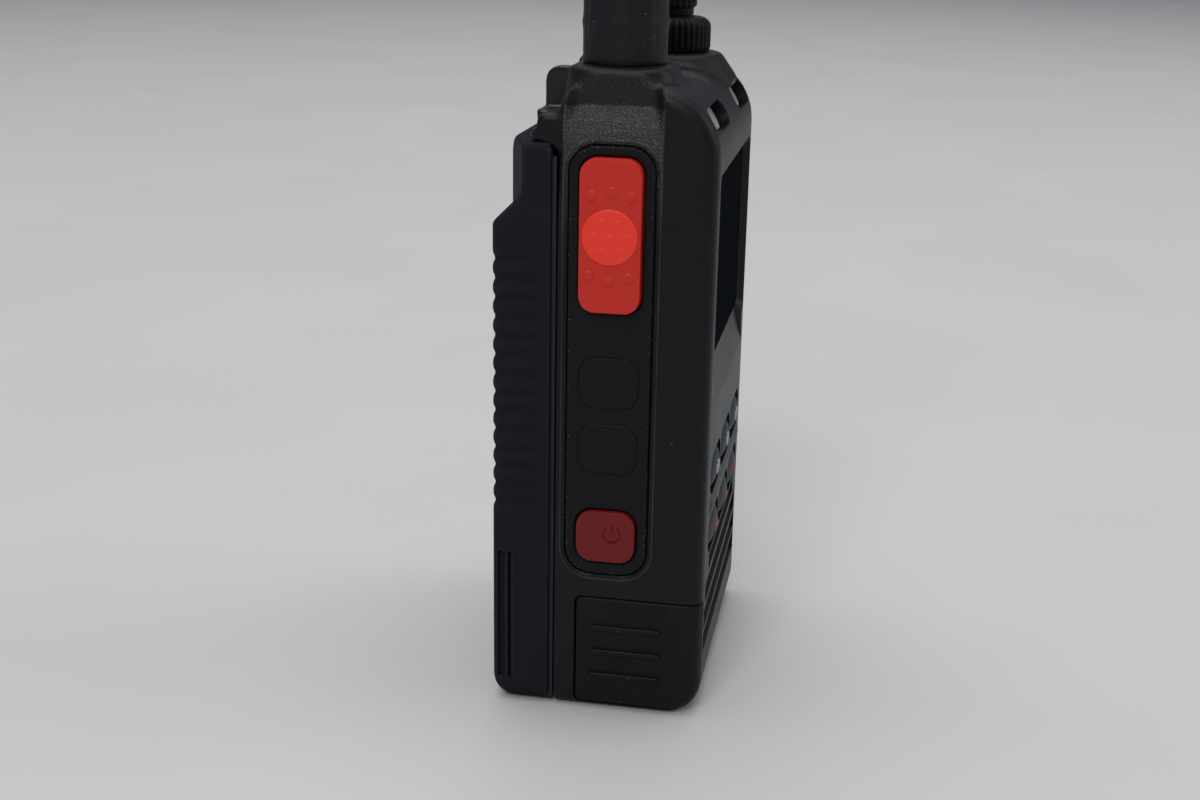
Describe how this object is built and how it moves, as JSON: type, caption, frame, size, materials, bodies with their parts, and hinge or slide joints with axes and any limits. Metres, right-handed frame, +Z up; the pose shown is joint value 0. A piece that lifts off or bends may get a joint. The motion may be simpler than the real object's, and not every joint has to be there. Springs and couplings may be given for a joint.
{
  "type": "two way radio",
  "caption": "Handheld two way radio with a whip antenna, a twin rotary knob, a red talk button on its side, a display, front keys and a removable battery pack.",
  "frame": {"origin": "middle of the base the radio stands on", "axes": "+X to the right as seen from the front, +Y to the back where the battery is, +Z up along the antenna"},
  "size_m": [0.0618, 0.0399, 0.2103],
  "materials": {
    "black_abs": "fine matte moulded grain",
    "black_rubber": "matte",
    "red_rubber": "smooth satin",
    "dark_red_rubber": "smooth satin",
    "grey_silicone": "matte silicone",
    "black_glass": "polished dark window",
    "pale_lens": "milky clear",
    "die_cast_aluminium": "as cast",
    "green_board": "solder mask",
    "steel": "plain plated",
    "brass": "turned",
    "gold_plate": "gold plated",
    "cell_wrap": "foil cell in a film wrap"
  },
  "bodies": {
    "radio_body": {"housing": "black_abs", "chassis": "die_cast_aluminium", "chassis_gasket": "black_rubber", "chassis_screw_1": "steel", "chassis_screw_2": "steel", "key_strip": "black_rubber", "side_key_board": "green_board", "talk_switch": "steel", "upper_side_switch": "steel", "lower_side_switch": "steel", "power_switch": "steel", "speaker_jack": "steel", "microphone_jack": "steel", "display_window": "black_glass", "display_module": "steel", "keypad_mat": "grey_silicone", "front_board": "green_board", "main_board": "green_board", "board_shield": "steel", "speaker": "steel", "speaker_mesh": "black_rubber", "microphone": "steel", "status_lens_left": "pale_lens", "status_lens_right": "pale_lens", "antenna_socket": "brass", "knob_encoder": "steel", "contact_block": "black_abs", "contact_pin_1": "gold_plate", "contact_pin_2": "gold_plate", "contact_pin_3": "gold_plate", "latch_spring_left": "steel", "latch_spring_right": "steel"},
    "talk_button_body": {"talk_button": "red_rubber"},
    "upper_side_key_body": {"upper_side_key": "black_rubber"},
    "lower_side_key_body": {"lower_side_key": "black_rubber"},
    "power_button_body": {"power_button": "dark_red_rubber"},
    "upper_left_key_body": {"upper_left_key": "grey_silicone"},
    "upper_middle_key_body": {"upper_middle_key": "grey_silicone"},
    "upper_right_key_body": {"upper_right_key": "grey_silicone"},
    "lower_left_key_body": {"lower_left_key": "grey_silicone"},
    "lower_middle_key_body": {"lower_middle_key": "grey_silicone"},
    "lower_right_key_body": {"lower_right_key": "grey_silicone"},
    "jack_cover_body": {"jack_cover": "black_rubber"},
    "channel_knob_body": {"channel_ring": "black_rubber", "channel_shaft": "steel"},
    "volume_knob_body": {"volume_knob": "black_rubber", "volume_shaft": "steel"},
    "antenna_body": {"antenna_sleeve": "black_rubber", "antenna_rod": "brass"},
    "battery_body": {"battery_case": "black_abs", "battery_lid": "black_abs", "battery_cell_left": "cell_wrap", "battery_cell_right": "cell_wrap", "battery_terminal_1": "gold_plate", "battery_terminal_2": "gold_plate", "battery_terminal_3": "gold_plate", "protection_board": "green_board"},
    "latch_body": {"battery_latch": "black_abs"}
  },
  "joints": [
    {"name": "talk_press", "type": "slide", "parent": "radio_body", "child": "talk_button_body", "axis": [1, 0, 0], "range_m": [0, 0.001], "stiffness_N_per_m": 2000},
    {"name": "upper_side_key_press", "type": "slide", "parent": "radio_body", "child": "upper_side_key_body", "axis": [1, 0, 0], "range_m": [0, 0.0005], "stiffness_N_per_m": 2500},
    {"name": "lower_side_key_press", "type": "slide", "parent": "radio_body", "child": "lower_side_key_body", "axis": [1, 0, 0], "range_m": [0, 0.0005], "stiffness_N_per_m": 2500},
    {"name": "power_press", "type": "slide", "parent": "radio_body", "child": "power_button_body", "axis": [1, 0, 0], "range_m": [0, 0.0005], "stiffness_N_per_m": 2500},
    {"name": "upper_left_key_press", "type": "slide", "parent": "radio_body", "child": "upper_left_key_body", "axis": [0, 1, 0], "range_m": [0, 0.00035], "stiffness_N_per_m": 3000},
    {"name": "upper_middle_key_press", "type": "slide", "parent": "radio_body", "child": "upper_middle_key_body", "axis": [0, 1, 0], "range_m": [0, 0.00035], "stiffness_N_per_m": 3000},
    {"name": "upper_right_key_press", "type": "slide", "parent": "radio_body", "child": "upper_right_key_body", "axis": [0, 1, 0], "range_m": [0, 0.00035], "stiffness_N_per_m": 3000},
    {"name": "lower_left_key_press", "type": "slide", "parent": "radio_body", "child": "lower_left_key_body", "axis": [0, 1, 0], "range_m": [0, 0.00035], "stiffness_N_per_m": 3000},
    {"name": "lower_middle_key_press", "type": "slide", "parent": "radio_body", "child": "lower_middle_key_body", "axis": [0, 1, 0], "range_m": [0, 0.00035], "stiffness_N_per_m": 3000},
    {"name": "lower_right_key_press", "type": "slide", "parent": "radio_body", "child": "lower_right_key_body", "axis": [0, 1, 0], "range_m": [0, 0.00035], "stiffness_N_per_m": 3000},
    {"name": "jack_cover_swing", "type": "hinge", "parent": "radio_body", "child": "jack_cover_body", "pos_m": [-0.0303, 0.002, 0.0119], "axis": [0, 0, -1], "range_deg": [0, 100]},
    {"name": "channel_turn", "type": "hinge", "parent": "radio_body", "child": "channel_knob_body", "pos_m": [0.015, -0.0069, 0.1214], "axis": [0, 0, 1], "continuous": true},
    {"name": "volume_turn", "type": "hinge", "parent": "radio_body", "child": "volume_knob_body", "pos_m": [0.015, -0.0069, 0.1296], "axis": [0, 0, 1], "range_deg": [-140, 140]},
    {"name": "antenna_turn", "type": "hinge", "parent": "radio_body", "child": "antenna_body", "pos_m": [-0.018, -0.003, 0.1183], "axis": [0, 0, 1], "range_deg": [0, 720]},
    {"name": "battery_slide", "type": "slide", "parent": "radio_body", "child": "battery_body", "axis": [0, 1, 0], "range_m": [0, 0.025]},
    {"name": "latch_press", "type": "slide", "parent": "radio_body", "child": "latch_body", "axis": [0, 0, -1], "range_m": [0, 0.0006], "stiffness_N_per_m": 3000, "deforming": ["latch_spring_left", "latch_spring_right"]}
  ]
}
